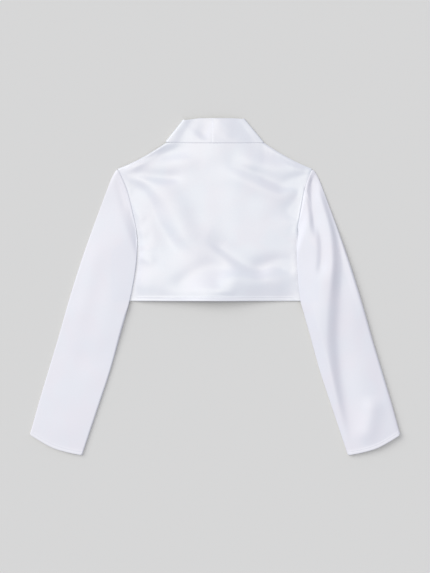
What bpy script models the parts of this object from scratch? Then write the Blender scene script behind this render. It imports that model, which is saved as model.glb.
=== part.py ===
"""Bolero jacket in white satin, laid out flat with its back up.

The collar points along +Y and the hem and cuffs along -Y, the wearer's right is +X, and the table is z = 0.
Every length here is in millimetres, and the meshes are made in metres.
"""

from collections import namedtuple

import bpy
import bmesh
import numpy as np

MM = 0.001
WALL = 1.2
GAP = 0.3  # between two pieces at a seam, and between two layers

# Height of the middle of each layer: on the table, on the fronts, and on the back
ON_TABLE = WALL / 2
ON_FRONTS = ON_TABLE + WALL + GAP
ON_BACK = ON_FRONTS + WALL + GAP

# Body, as half widths from the centre line and heights along Y
NECK_HALF = 102.0
NECK_Y = 302.4
NECK_DIP = 1.2  # the neck seam is this much lower in the middle
SHOULDER_HALF = 204.0
SHOULDER_Y = 247.0
SHOULDER_DIP = 4.0  # how far the shoulder line is hollowed
SIDE_HALF = 215.0
UNDERARM_Y = 75.0
HEM_Y = -30.5
FOLD_HALF = 165.0  # where the armhole seam goes under the sleeve's inner fold
FOLD_Y = 112.0
RIGHT_SLIP = 8.0  # the right sleeve lies this much further out over the body than the left one
SLIP_END_HALF = 230.0

# Collar, standing flat beyond the neck and folded at its slanted sides
CENTRE_BACK_X = -6.5
COLLAR_TOP_Y = 353.2
COLLAR_TOP_LEFT = 65.0
COLLAR_TOP_RIGHT = 60.5
COLLAR_DROP_LEFT = 4.0  # the top corners lie this much lower than the brim's middle
COLLAR_DROP_RIGHT = 1.1
COLLAR_LIFT = 2.0
COLLAR_FOLD_GAP = 0.6

# Lines of the pattern on the wearer's right, as (half width, y) points
SIDE_SEAM = [(SIDE_HALF, HEM_Y), (SIDE_HALF, UNDERARM_Y)]
SHOULDER_SEAM = [(NECK_HALF, NECK_Y), (153, NECK_Y - 31.7), (SHOULDER_HALF, SHOULDER_Y)]
ARMHOLE_BACK = [(SHOULDER_HALF, SHOULDER_Y), (190, 217), (181, 190), (168, 136), (FOLD_HALF, FOLD_Y)]
ARMHOLE_TURN = [(FOLD_HALF, FOLD_Y), (172, 98), (190, 85), (SIDE_HALF, UNDERARM_Y)]
ARMHOLE_FRONT = [(SHOULDER_HALF, SHOULDER_Y), (204, 160), (SIDE_HALF, UNDERARM_Y)]
SLEEVE_OUTER = [(205.2, 246.2), (211, 238.5), (222, 215), (262, 106), (299.5, -7.5), (333, -121)]
SLEEVE_OUTER += [(367, -234), (388.4, -310)]
SLEEVE_INNER = [(FOLD_HALF, FOLD_Y), (163, 87), (167, 35), (179, HEM_Y), (199, -102), (220, -177.5)]
SLEEVE_INNER += [(245, -253), (278.5, -353.2)]
SLEEVE_SEAM = [(216.5, 73), (223, 0), (233, -90), (252, -200), (291, -351.4)]
CUFF = [(388.4, -310), (357, -329), (335, -339.5), (306, -347.8), (278.5, -353.2)]
FRONT_EDGE = [(NECK_HALF, NECK_Y), (76, 206), (62, 130), (54, 60), (57, 8), (72, -20), (97, HEM_Y)]
COLLAR_SEWN = [(NECK_HALF, NECK_Y), (76, 206), (62, 130), (54, 60), (55, 16)]
COLLAR_FREE = [(37, 257), (20, 190), (11, 120), (12, 60), (30, 8)]

# Height given to the cloth above its flat layer
BODY_LOOSE = 3.2
HEM_LIFT = 13.5
HEM_LIFT_X = -14.0
HEM_LIFT_HALF = 88.0
HEM_LIFT_REACH = 62.0
EDGE_REACH = 34.0  # the back lies flat at its edges and is loose this far inside them
HEM_EDGE_REACH = 60.0
NECK_REACH = 45.0
SLEEVE_EDGE = 2.4  # from one layer's middle to the other's at the sleeve's folded edges
SLEEVE_LOOSE = 1.4
STEP_START = 12.0  # the sleeve's under layer is fully raised this far round the body
STEP_WIDTH = 20.0
STEP_SCALE = 1.6  # and the rise is this much shorter at the armhole
CAP_REACH = 30.0
FOLD_INSET = SLEEVE_EDGE / 2 + WALL / 2

BACK_COLUMNS = 40
SIDE_ROWS, TURN_ROWS, ARMHOLE_ROWS = 8, 5, 15  # rows of the back along each part of its edge
SLEEVE_RINGS, SLEEVE_TOP, SLEEVE_UNDER_IN, SLEEVE_UNDER_OUT = 27, 14, 4, 7
FRONT_COLUMNS, FRONT_ROWS, FRONT_SIDE_ROWS = 8, 12, 4
COLLAR_ACROSS, COLLAR_UPPER, COLLAR_LOWER = 5, 8, 11
TURN = np.radians([60, 20, -20, -60])  # the points round a folded edge

# A fold is a ridge, or a trough where its height is below 0, along a curve of (x, y) points
Fold = namedtuple("Fold", "height width spine")

BACK_FOLDS = [
    Fold(-2.4, 11, [(-172, 256), (-125, 276), (-78, 297)]),
    Fold(2.2, 12, [(-196, 248), (-145, 260), (-94, 264), (-50, 260)]),
    Fold(-1.8, 12, [(-186, 244), (-94, 234), (-28, 238)]),
    Fold(3.4, 14, [(-184, 238), (-134, 217), (-75, 159), (-31, 85), (37, 39), (76, 24)]),
    Fold(-2.4, 15, [(-176, 226), (-117, 159), (-68, 85), (-46, 66)]),
    Fold(-3.6, 10, [(-68, 184), (-29, 113), (24, 61), (92, 20)]),
    Fold(2.6, 11, [(-4, 98), (37, 66), (68, 45), (96, 34)]),
    Fold(2.2, 14, [(-165, 60), (-123, 33), (-95, 10)]),
    Fold(-2.6, 12, [(-90, 0), (-56, 37), (-18, 51), (26, 42)]),
    Fold(2.8, 10, [(-98, -9), (-50, 3), (-10, 20), (34, 27)]),
    Fold(-3.4, 15, [(30, 2), (80, -4), (114, -6), (162, 4)]),
    Fold(-2.2, 12, [(172, 258), (129, 268), (80, 288)]),
    Fold(2.2, 10, [(194, 247), (144, 247), (114, 251), (72, 266)]),
    Fold(-2.2, 11, [(194, 236), (144, 228), (104, 230), (36, 250)]),
    Fold(3.0, 11, [(34, 241), (68, 228), (129, 198), (190, 216)]),
    Fold(-2.6, 13, [(24, 230), (83, 190), (129, 165), (164, 152)]),
    Fold(2.4, 13, [(90, 157), (129, 119), (168, 95)]),
    Fold(-2.6, 11, [(88, 49), (123, 72), (172, 50)]),
]
LEFT_SLEEVE_FOLDS = [
    Fold(-1.0, 7, [(-207, 232), (-197, 195), (-186, 156)]),
    Fold(0.9, 14, [(-236, 120), (-262, 20), (-296, -120)]),
]
RIGHT_SLEEVE_FOLDS = [
    Fold(-1.3, 6, [(203, 242), (199, 199), (204, 160), (212, 106)]),
    Fold(1.2, 13, [(222, 196), (232, 140), (236, 70), (232, 0), (226, -70)]),
    Fold(-2.0, 9, [(238, 152), (254, 64), (250, -22), (245, -108), (254, -194), (272, -288)]),
    Fold(1.1, 15, [(276, 40), (274, -70), (284, -190), (312, -318)]),
]


def smooth(value):
    value = np.clip(value, 0, 1)
    return value * value * (3 - 2 * value)


def curve(points, count):
    """count points spread evenly along a smooth curve through the points."""
    points = np.array(points, float)
    ends = np.vstack([2 * points[0] - points[1], points, 2 * points[-1] - points[-2]])
    u = np.linspace(0, 1, 24, endpoint=False)[:, None]
    fine = []
    for a, b, c, d in zip(ends, ends[1:], ends[2:], ends[3:]):
        fine.append(b + 0.5 * u * (c - a + u * (2 * a - 5 * b + 4 * c - d + u * (3 * (b - c) + d - a))))
    fine = np.vstack(fine + [points[-1:]])
    along = np.insert(np.cumsum(np.linalg.norm(np.diff(fine, axis=0), axis=1)), 0, 0)
    at = np.linspace(0, along[-1], count)
    return np.stack([np.interp(at, along, fine[:, k]) for k in range(2)], axis=1)


def patch(side0, side1, end0, end1):
    """Rows of points that fill the space between four curves."""
    s = np.linspace(0, 1, len(side0))[:, None, None]
    t = np.linspace(0, 1, len(end0))[None, :, None]
    across = (1 - t) * side0[:, None] + t * side1[:, None]
    along = (1 - s) * end0[None] + s * end1[None]
    corners = (1 - s) * ((1 - t) * end0[0] + t * end0[-1]) + s * ((1 - t) * end1[0] + t * end1[-1])
    return across + along - corners


def nearest(x, y, spine, count=40):
    """Distance from each point to a curve, and how far along the curve its nearest point is."""
    line = curve(spine, count)
    distance = np.full(np.shape(x), np.inf)
    along = np.zeros(np.shape(x))
    for i, (a, b) in enumerate(zip(line, line[1:])):
        run = b - a
        u = np.clip(((x - a[0]) * run[0] + (y - a[1]) * run[1]) / (run @ run), 0, 1)
        d = np.hypot(x - a[0] - u * run[0], y - a[1] - u * run[1])
        along = np.where(d < distance, (i + u) / (count - 1), along)
        distance = np.minimum(d, distance)
    return distance, along


def fold_height(x, y, folds):
    total = np.zeros(np.shape(x))
    for fold in folds:
        distance, along = nearest(x, y, fold.spine)
        ends = smooth(along / 0.25) * smooth((1 - along) / 0.25)
        total += fold.height * ends * np.exp(-((distance / fold.width) ** 2))
    return total


def slip(x, y):
    """How far the cloth round the right armhole lies out from the left one's mirrored place."""
    along = np.sin(np.pi * np.clip((y - HEM_Y) / (SHOULDER_Y - HEM_Y), 0, 1))
    across = np.minimum(smooth(x / FOLD_HALF), smooth((SLIP_END_HALF - x) / (SLIP_END_HALF - FOLD_HALF)))
    return RIGHT_SLIP * along * across * (x > 0)


def shoulder_y(half):
    """The top edge of the body: the neck seam, then the shoulder line."""
    u = np.clip((half - NECK_HALF) / (SHOULDER_HALF - NECK_HALF), 0, 1)
    shoulder = NECK_Y + (SHOULDER_Y - NECK_Y) * u - 4 * SHOULDER_DIP * u * (1 - u)
    neck = NECK_Y - NECK_DIP * (1 - (half / NECK_HALF) ** 2)
    return np.where(half < NECK_HALF, neck, shoulder)


def back_height(x, y):
    """Middle of the back's wall: flat at its edges, loose inside them and lifted at the hem."""
    half = np.abs(x - slip(x, y))
    seam, _ = nearest(half, y, ARMHOLE_BACK)
    inner, _ = nearest(half, y, SLEEVE_INNER[:4])
    shoulder, _ = nearest(half, y, SHOULDER_SEAM)
    line = np.vstack([curve(ARMHOLE_BACK, 30), curve(SLEEVE_INNER[:4], 30)[1:]])[::-1]
    inside = half < np.interp(y, line[:, 1], line[:, 0])
    loose = inside * smooth(np.minimum(seam, inner) / EDGE_REACH) * smooth(shoulder / EDGE_REACH)
    hem = np.exp(-(((x - HEM_LIFT_X) / HEM_LIFT_HALF) ** 2) - ((y - HEM_Y) / HEM_LIFT_REACH) ** 2)
    hem = hem * inside * smooth(inner / HEM_EDGE_REACH)
    neck = np.clip(1 - (x / NECK_HALF) ** 2, 0, 1) * np.exp(-(((NECK_Y - y) / NECK_REACH) ** 2))
    height = loose * (BODY_LOOSE + fold_height(x, y, BACK_FOLDS)) + HEM_LIFT * hem
    return ON_FRONTS + np.maximum(height, 0) + COLLAR_LIFT * neck


def under_height(half, y):
    """Middle of the sleeve's under layer: on the table, and raised where it lies on the body."""
    slope = np.array([UNDERARM_Y - FOLD_Y, SIDE_HALF - FOLD_HALF])
    out = np.array([-slope[0], slope[1]]) / np.hypot(*slope)
    above = STEP_SCALE * ((half - SIDE_HALF) * out[0] + (y - UNDERARM_Y) * out[1])
    beyond = [np.maximum(d, 0) for d in (half - SIDE_HALF, HEM_Y - y, above)]
    distance = np.sqrt(sum(d * d for d in beyond))
    return ON_TABLE + (ON_BACK - ON_TABLE) * (1 - smooth((distance - STEP_START) / STEP_WIDTH))


def make_cloth(name, rings, closed, material):
    """A wall round a surface given as rows of points, each row a ring where closed."""
    mesh = bpy.data.meshes.new(name)
    bm = bmesh.new()
    rows = [[bm.verts.new(tuple(p * MM)) for p in ring] for ring in rings]
    for row, following in zip(rows, rows[1:]):
        for i in range(len(row) - (not closed)):
            j = (i + 1) % len(row)
            bm.faces.new((row[i], row[j], following[j], following[i]))
    bm.to_mesh(mesh)
    bm.free()
    mesh.materials.append(material)
    mesh.shade_smooth()
    cloth = bpy.data.objects.new(name, mesh)
    bpy.context.scene.collection.objects.link(cloth)
    wall = cloth.modifiers.new("Wall", "SOLIDIFY")
    wall.thickness = WALL * MM
    wall.offset = 0
    return cloth


def with_height(plan, height):
    return np.dstack([plan, height])


def make_back(material):
    """The back, in rows from the hem up to the shoulders and the neck seam."""
    side = curve(SIDE_SEAM, SIDE_ROWS + 1)[:-1]
    turn = curve(ARMHOLE_TURN[::-1], TURN_ROWS + 1)[:-1]
    edge = np.vstack([side, turn, curve(ARMHOLE_BACK[::-1], ARMHOLE_ROWS + 1)])
    edge[:, 0] -= GAP / 2
    u = np.linspace(-1, 1, BACK_COLUMNS + 1)
    x = edge[:, :1] * u
    rise = smooth((edge[:, 1:] - UNDERARM_Y) / (SHOULDER_Y - UNDERARM_Y))
    top = shoulder_y(np.abs(u) * SHOULDER_HALF) - GAP / 2
    y = edge[:, 1:] + rise * (top - SHOULDER_Y)
    x = x + slip(x, y)
    plan = np.dstack([x, y])
    return make_cloth("back", with_height(plan, back_height(x, y)), False, material)


def make_front(name, side, material):
    """A front: side seam and armhole outside, neckline and rounded opening edge inside."""
    outer = curve(SIDE_SEAM, FRONT_SIDE_ROWS + 1)[:-1]
    outer = np.vstack([outer, curve(ARMHOLE_FRONT[::-1], FRONT_ROWS - FRONT_SIDE_ROWS + 1)])
    outer[:, 0] -= GAP / 2
    inner = curve(FRONT_EDGE[::-1], FRONT_ROWS + 1)
    inner[:, 0] += GAP / 2
    hem = np.linspace(outer[0], inner[0], FRONT_COLUMNS + 1)
    half = np.linspace(outer[-1][0], inner[-1][0], FRONT_COLUMNS + 1)
    shoulder = np.stack([half, shoulder_y(half)], axis=1)
    plan = patch(outer, inner, hem, shoulder)
    plan[:, :, 0] *= side
    plan[:, :, 0] += slip(plan[:, :, 0], plan[:, :, 1])
    return make_cloth(name, with_height(plan, np.full(plan.shape[:2], ON_TABLE)), False, material)


def turned_edge(upper, under, outward):
    """The points round a folded edge, from the upper layer's edge point to the under layer's."""
    middle = (upper[:, 2] + under[:, 2]) / 2
    radius = (upper[:, 2] - under[:, 2]) / 2
    ring = []
    for angle in TURN:
        flat = upper[:, :2] + outward * (radius * np.cos(angle))[:, None]
        ring.append(np.column_stack([flat, middle + radius * np.sin(angle)]))
    return np.stack(ring, axis=1)


def inset(line, other):
    """line moved towards other by the depth of a folded edge."""
    way = other - line
    return line + FOLD_INSET * way / np.linalg.norm(way, axis=1)[:, None]


def make_sleeve(name, side, folds, material):
    """A flat tube of rings from the armhole to the cuff, lying partly on the body."""
    outer = curve(SLEEVE_OUTER, SLEEVE_RINGS)
    inner = curve(SLEEVE_INNER, SLEEVE_RINGS)
    outer, inner = inset(outer, inner), inset(inner, outer)
    seam = curve(SLEEVE_SEAM, SLEEVE_RINGS)
    cuff = curve(CUFF, 60)
    at_seam = int(np.argmin(np.hypot(*(cuff - seam[-1]).T)))

    head = curve(ARMHOLE_BACK, SLEEVE_TOP + 1)
    head[:, 0] += GAP / 2
    head[0], head[-1] = outer[0], inner[0]
    end = curve(cuff, SLEEVE_TOP + 1)
    end[0], end[-1] = outer[-1], inner[-1]
    top = patch(outer, inner, head, end)

    turn = curve(ARMHOLE_TURN, SLEEVE_UNDER_IN + 1)
    turn[0], turn[-1] = inner[0], seam[0]
    end = curve(cuff[at_seam:][::-1], SLEEVE_UNDER_IN + 1)
    end[0], end[-1] = inner[-1], seam[-1]
    under_in = patch(inner, seam, turn, end)

    front = curve(ARMHOLE_FRONT[::-1], SLEEVE_UNDER_OUT + 1)
    front[:, 0] += GAP / 2
    front[0], front[-1] = seam[0], outer[0]
    end = curve(cuff[: at_seam + 1][::-1], SLEEVE_UNDER_OUT + 1)
    end[0], end[-1] = seam[-1], outer[-1]
    under_out = patch(seam, outer, front, end)

    across = np.linspace(0, 1, SLEEVE_TOP + 1)[None, :]
    half, y = top[:, :, 0], top[:, :, 1]
    x = side * half + slip(side * half, y)
    loose = SLEEVE_LOOSE * np.sin(np.pi * across)
    edges = smooth(across / 0.2) * smooth((1 - across) / 0.2)
    height = under_height(half, y) + SLEEVE_EDGE + loose + edges * fold_height(x, y, folds)
    joined = back_height(x[0] - side * GAP, y[0])[None]
    joined = joined + (height[:1] - joined) * smooth((across - 0.7) / 0.3)
    from_head = np.linalg.norm(top - top[:1], axis=2)
    height = joined + (height - joined) * smooth(from_head / CAP_REACH)

    top = with_height(top, height)
    under_in = with_height(under_in, under_height(under_in[:, :, 0], under_in[:, :, 1]))
    under_out = with_height(under_out, under_height(under_out[:, :, 0], under_out[:, :, 1]))
    way = (inner - outer) / np.linalg.norm(inner - outer, axis=1)[:, None]
    inner_turn = turned_edge(top[:, -1], under_in[:, 0], way)
    outer_turn = turned_edge(top[:, 0], under_out[:, -1], -way)[:, ::-1]
    rings = np.concatenate([top, inner_turn, under_in, under_out[:, 1:], outer_turn], axis=1)
    rings[:, :, 0] *= side
    rings[:, :, 0] += slip(rings[:, :, 0], rings[:, :, 1])
    return make_cloth(name, rings, True, material)


def make_collar(name, side, top_half, corner_drop, material):
    """Half of the collar: up from the neck seam, round its slanted fold and down the front edge."""
    start = CENTRE_BACK_X * side + GAP / 2
    base = np.linspace(start, NECK_HALF - FOLD_INSET, COLLAR_UPPER + 1)
    brim = np.linspace(start, top_half - FOLD_INSET, COLLAR_UPPER + 1)
    base_y = shoulder_y(base) + GAP / 2
    brim_y = COLLAR_TOP_Y - corner_drop * smooth((brim / top_half - 0.45) / 0.55)
    v = np.linspace(0, 1, COLLAR_ACROSS + 1)[None, :]
    half = base[:, None] * (1 - v) + brim[:, None] * v
    y = base_y[:, None] * (1 - v) + brim_y[:, None] * v
    width = NECK_HALF * (1 - v) + top_half * v
    lift = COLLAR_LIFT * np.clip(1 - (half / width) ** 2, 0, 1)
    upper = np.dstack([half, y, ON_FRONTS + COLLAR_FOLD_GAP / 2 + lift])

    fold = upper[-1, :, :2]
    sewn = curve(COLLAR_SEWN, COLLAR_LOWER + 1) - [GAP / 2, 0]
    free = curve([tuple(fold[-1])] + COLLAR_FREE, COLLAR_LOWER + 1)
    sewn[0], free[0] = fold[0], fold[-1]
    lower = patch(sewn, free, fold, np.linspace(sewn[-1], free[-1], COLLAR_ACROSS + 1))
    lower = with_height(lower, np.full(lower.shape[:2], ON_TABLE))

    run = fold[-1] - fold[0]
    outward = np.array([run[1], -run[0]]) / np.hypot(*run)
    turn = turned_edge(upper[-1], lower[0], outward).transpose(1, 0, 2)
    rows = np.concatenate([upper, turn, lower], axis=0)
    rows[:, :, 0] *= side
    return make_cloth(name, rows, False, material)


def make_material(name, colour, roughness):
    material = bpy.data.materials.new(name)
    material.use_nodes = True
    finish = material.node_tree.nodes["Principled BSDF"]
    finish.inputs["Base Color"].default_value = (*colour, 1)
    finish.inputs["Roughness"].default_value = roughness
    finish.inputs["Metallic"].default_value = 0
    return material


for thing in list(bpy.data.objects):
    bpy.data.objects.remove(thing)

shiny = make_material("satin_shiny_side", (0.84, 0.86, 0.93), 0.35)
plain = make_material("satin_sleeve", (0.87, 0.86, 0.93), 0.5)
make_back(shiny)
make_front("front_left", -1, shiny)
make_front("front_right", 1, shiny)
make_sleeve("sleeve_left", -1, LEFT_SLEEVE_FOLDS, plain)
make_sleeve("sleeve_right", 1, RIGHT_SLEEVE_FOLDS, plain)
make_collar("collar_left", -1, COLLAR_TOP_LEFT, COLLAR_DROP_LEFT, shiny)
make_collar("collar_right", 1, COLLAR_TOP_RIGHT, COLLAR_DROP_RIGHT, shiny)
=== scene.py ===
import math

import bpy
import numpy as np
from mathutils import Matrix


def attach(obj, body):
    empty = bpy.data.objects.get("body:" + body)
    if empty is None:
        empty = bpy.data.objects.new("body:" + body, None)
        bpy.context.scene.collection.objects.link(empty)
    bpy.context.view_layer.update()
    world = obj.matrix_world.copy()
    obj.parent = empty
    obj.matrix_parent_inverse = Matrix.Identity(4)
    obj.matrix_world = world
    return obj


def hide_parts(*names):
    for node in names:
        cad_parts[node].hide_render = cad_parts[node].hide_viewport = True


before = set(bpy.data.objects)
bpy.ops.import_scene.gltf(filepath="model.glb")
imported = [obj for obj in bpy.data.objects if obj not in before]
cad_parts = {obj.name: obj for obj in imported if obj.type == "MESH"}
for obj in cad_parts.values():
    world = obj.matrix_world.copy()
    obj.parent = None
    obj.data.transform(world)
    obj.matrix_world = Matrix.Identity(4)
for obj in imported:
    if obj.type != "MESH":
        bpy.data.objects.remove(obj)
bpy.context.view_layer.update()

mm = 0.001

# The jacket lies with its back up. Sizes are in mm: x towards the wearer's right, y towards the collar.
body = {
    "neckHalf": 102.0, "neckY": 302.4, "neckDip": 1.2,
    "shoulderHalf": 204.0, "shoulderY": 247.0, "shoulderDip": 4.0,
    "sideHalf": 215.0, "underarmY": 75.0, "hemY": -30.5,
    "foldHalf": 165.0, "foldY": 112.0,      # where the armhole seam dives under the sleeve
    "rightSlip": 8.0, "slipEnd": 230.0,     # the right sleeve lies further off the body
    "centreBackX": -6.5,
}

# Height of the middle of each layer of cloth
layers = {"table": 0.42, "fronts": 2.9, "back": 4.0, "wall": 0.8, "collarWall": 1.5}
foldEnds = 0.28         # the part of a fold's length in which each of its ends fades out
fineCount = 400         # points on a curve before it is divided
faraway = 99            # stands for a seam that is nowhere near

# Pattern lines of one half, as (half width, y)
sideSeam = [(215, -30.5), (215, 75)]
shoulderSeam = [(102, 302.4), (153, 270.7), (204, 247)]
armholeBack = [(204, 247), (190, 217), (181, 190), (168, 136), (165, 112)]
armholeTurn = [(165, 112), (172, 98), (190, 85), (215, 75)]
armholeFront = [(204, 247), (204, 160), (215, 75)]
sleeveOuter = [(205.2, 246.2), (211, 238.5), (222, 215), (262, 106), (299.5, -7.5), (333, -121)]
sleeveOuter += [(367, -234), (388.4, -310)]
sleeveInner = [(165, 112), (163, 87), (167, 35), (179, -30.5), (199, -102), (220, -177.5)]
sleeveInner += [(245, -253), (278.5, -353.2)]
sleeveSeam = [(216.5, 73), (223, 0), (233, -90), (252, -200), (291, -351.4)]
cuffLine = [(388.4, -310), (357, -329), (335, -339.5), (306, -347.8), (278.5, -353.2)]


def smooth(value):
    value = np.clip(value, 0, 1)
    return value * value * (3 - 2 * value)


def curve(points, count):
    # count points, evenly spread on a smooth curve through the points
    points = np.array(points, float)
    ends = np.vstack([2 * points[0] - points[1], points, 2 * points[-1] - points[-2]])
    u = np.linspace(0, 1, 24, endpoint=False)[:, None]
    fine = []
    for a, b, c, d in zip(ends, ends[1:], ends[2:], ends[3:]):
        fine.append(b + 0.5 * u * (c - a + u * (2 * a - 5 * b + 4 * c - d + u * (3 * (b - c) + d - a))))
    fine = np.vstack(fine + [points[-1:]])
    along = np.insert(np.cumsum(np.linalg.norm(np.diff(fine, axis=0), axis=1)), 0, 0)
    at = np.linspace(0, along[-1], count)
    return np.stack([np.interp(at, along, fine[:, k]) for k in range(2)], axis=1)


def spaced(line, first, last, count):
    # points on a line: at set distances from its start and its end, and count more between them
    along = np.insert(np.cumsum(np.linalg.norm(np.diff(line, axis=0), axis=1)), 0, 0)
    middle = np.linspace(first[-1], along[-1] - last[-1], count + 2)[1:-1]
    at = np.concatenate([first, middle, along[-1] - np.array(last[::-1], float)])
    return np.stack([np.interp(at, along, line[:, k]) for k in range(line.shape[1])], axis=1)


def patch(side0, side1, end0, end1, t=None):
    # rows of points filling the space between four curves
    s = np.linspace(0, 1, len(side0))[:, None, None]
    t = (np.linspace(0, 1, len(end0)) if t is None else np.array(t))[None, :, None]
    across = (1 - t) * side0[:, None] + t * side1[:, None]
    along = (1 - s) * end0[None] + s * end1[None]
    corners = (1 - s) * ((1 - t) * end0[0] + t * end0[-1]) + s * ((1 - t) * end1[0] + t * end1[-1])
    return across + along - corners


def nearest(x, y, spine, count=40):
    # distance to a curve, how far along it, and whether the point is on its left
    line = curve(spine, count)
    run = np.diff(line, axis=0)
    px = np.asarray(x, float)[..., None] - line[:-1, 0]
    py = np.asarray(y, float)[..., None] - line[:-1, 1]
    u = np.clip((px * run[:, 0] + py * run[:, 1]) / (run * run).sum(axis=1), 0, 1)
    distance = np.hypot(px - u * run[:, 0], py - u * run[:, 1])
    pick = distance.argmin(axis=-1)[..., None]
    left = run[:, 0] * py - run[:, 1] * px > 0
    take = [np.take_along_axis(v, pick, -1)[..., 0] for v in (distance, u, left)]
    return take[0], (pick[..., 0] + take[1]) / (count - 1), take[2]


def foldHeight(x, y, folds):
    # each fold: height, width on its left, width on its right, spine
    total = np.zeros(np.shape(x))
    for height, leftWidth, rightWidth, spine in folds:
        distance, along, left = nearest(x, y, spine)
        width = np.where(left, leftWidth, rightWidth)
        ends = smooth(along / foldEnds) * smooth((1 - along) / foldEnds)
        total += height * ends * np.exp(-((distance / width) ** 2))
    return total


def ripple(x, y, wavelength, seed, waves=7):
    # smooth unevenness between about -1 and 1
    random = np.random.default_rng(seed)
    total = np.zeros(np.shape(x))
    for angle, stretch, phase in random.random((waves, 3)):
        k = 2 * math.pi / (wavelength * (0.7 + 0.7 * stretch))
        along = x * math.cos(math.pi * angle) + y * math.sin(math.pi * angle)
        total += np.sin(k * along + 2 * math.pi * phase)
    return total / waves ** 0.5 / 1.2


def slip(x, y):
    along = np.sin(np.pi * np.clip((y - body["hemY"]) / (body["shoulderY"] - body["hemY"]), 0, 1))
    inner = smooth(x / body["foldHalf"])
    outer = smooth((body["slipEnd"] - x) / (body["slipEnd"] - body["foldHalf"]))
    return body["rightSlip"] * along * np.minimum(inner, outer) * (x > 0)


def shoulderY(half):
    u = np.clip((half - body["neckHalf"]) / (body["shoulderHalf"] - body["neckHalf"]), 0, 1)
    shoulder = body["neckY"] + (body["shoulderY"] - body["neckY"]) * u
    shoulder = shoulder - 4 * body["shoulderDip"] * u * (1 - u)
    neck = body["neckY"] - body["neckDip"] * (1 - (half / body["neckHalf"]) ** 2)
    return np.where(half < body["neckHalf"], neck, shoulder)


def withHeight(plan, height):
    return np.dstack([plan, np.broadcast_to(height, plan.shape[:2])])


def clothMesh(name, rows, closed, wall, material, layersAndPaintedLight=None):
    # a sheet from rows of points in mm, with its own UV map in metres of cloth
    count, across = rows.shape[:2]
    spans = across if closed else across - 1
    faces, corners = [], []
    ahead = np.linalg.norm(np.diff(rows, axis=0), axis=2).mean(axis=1)
    lap = np.concatenate([rows, rows[:, :1]], axis=1) if closed else rows
    beside = np.linalg.norm(np.diff(lap, axis=1), axis=2).mean(axis=0)
    v = np.insert(np.cumsum(ahead), 0, 0) * mm
    u = np.insert(np.cumsum(beside), 0, 0) * mm
    for i in range(count - 1):
        for j in range(spans):
            k = (j + 1) % across
            faces.append((i * across + j, i * across + k, (i + 1) * across + k, (i + 1) * across + j))
            corners += [(u[j], v[i]), (u[j + 1], v[i]), (u[j + 1], v[i + 1]), (u[j], v[i + 1])]
    mesh = bpy.data.meshes.new(name)
    mesh.from_pydata((rows.reshape(-1, 3) * mm).tolist(), [], faces)
    mesh.uv_layers.new(name="cloth").data.foreach_set("uv", np.array(corners).ravel())
    # the tone attribute: above 0 the hem is brighter, partly for its doubled cloth and partly as a painted
    # highlight; below 0 it is painted shade
    tone = mesh.attributes.new("layersAndPaintedLight", "FLOAT", "POINT")
    tone.data.foreach_set("value", np.zeros(count * across) if layersAndPaintedLight is None else layersAndPaintedLight.ravel())
    piece = bpy.data.objects.new(name, mesh)
    bpy.context.scene.collection.objects.link(piece)
    mesh.materials.append(material)
    select(piece)
    wallStep = piece.modifiers.new("wall", "SOLIDIFY")
    wallStep.thickness = wall * mm
    wallStep.offset = 0
    rounding = piece.modifiers.new("rounding", "SUBSURF")
    rounding.levels = rounding.render_levels = 1
    for step in (wallStep.name, rounding.name):
        bpy.ops.object.modifier_apply(modifier=step)
    bpy.ops.object.shade_smooth()
    return piece


# Turned hems, with their stitches

hem = {
    "rows": [1.0, 1.8, 3.0, 4.4, 5.5, 6.2, 6.9, 7.9, 9.5, 12.5],   # distances from the edge
    "turn": 0.55, "turnAngles": [50, 90, 130],
    "back": [1.0, 3.0, 6.9],                                      # the layer turned inside
    "raise": 0.5, "deep": 7.6, "fade": 1.5, "toneFade": 2,
    "stitchAt": 6.2, "groove": 0.42, "grooveWidth": 0.75,
    "stitchLength": 2.5, "stitchGap": 0.8, "stitchWide": 0.24, "stitchTall": 0.2,
    "stitchUp": 0.1, "stitchReach": 0.8, "stitchTurn": 0.03,
}
stitchLine = -1 - hem["rows"].index(hem["stitchAt"])              # the row that the stitches follow


def hemRelief(distance):
    # the doubled cloth stands up, and the stitches pull it in
    doubled = hem["raise"] * smooth((hem["deep"] + hem["fade"] - distance) / hem["fade"])
    return doubled - hem["groove"] * np.exp(-(((distance - hem["stitchAt"]) / hem["grooveWidth"]) ** 2))


def outwardOf(rows, closed, up):
    # unit normals of a grid, turned so that row up[0], column up[1] faces up
    if closed:
        beside = np.roll(rows, -1, axis=1) - np.roll(rows, 1, axis=1)
    else:
        beside = np.gradient(rows, axis=1)
    normal = np.cross(beside, np.gradient(rows, axis=0))
    normal /= np.linalg.norm(normal, axis=2)[:, :, None]
    return normal * np.sign(normal[up][2])


def turnHem(rows, closed, up):
    # folds the last rows' edge inwards and back along the inside
    normal = outwardOf(rows, closed, up)
    ahead = rows[-1] - rows[-2]
    ahead /= np.linalg.norm(ahead, axis=1)[:, None]
    radius = hem["turn"]
    added = []
    for angle in np.radians(hem["turnAngles"]):
        out, inwards = radius * math.sin(angle), radius * (1 - math.cos(angle))
        added.append(rows[-1] + out * ahead - inwards * normal[-1])
    for distance in hem["back"]:
        row = len(rows) - 1 - int(np.argmin(np.abs(np.array(hem["rows"]) - distance)))
        added.append(rows[row] - 2 * radius * normal[row])
    return np.concatenate([rows, np.array(added)])


def hemToneAndHighlight(distance):
    # 1 on the doubled cloth of a hem, 0 on the single cloth beyond it; this brightens the hem, partly for
    # its doubled cloth, partly as a painted highlight
    return smooth((hem["deep"] + 1 - distance) / hem["toneFade"])


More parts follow.
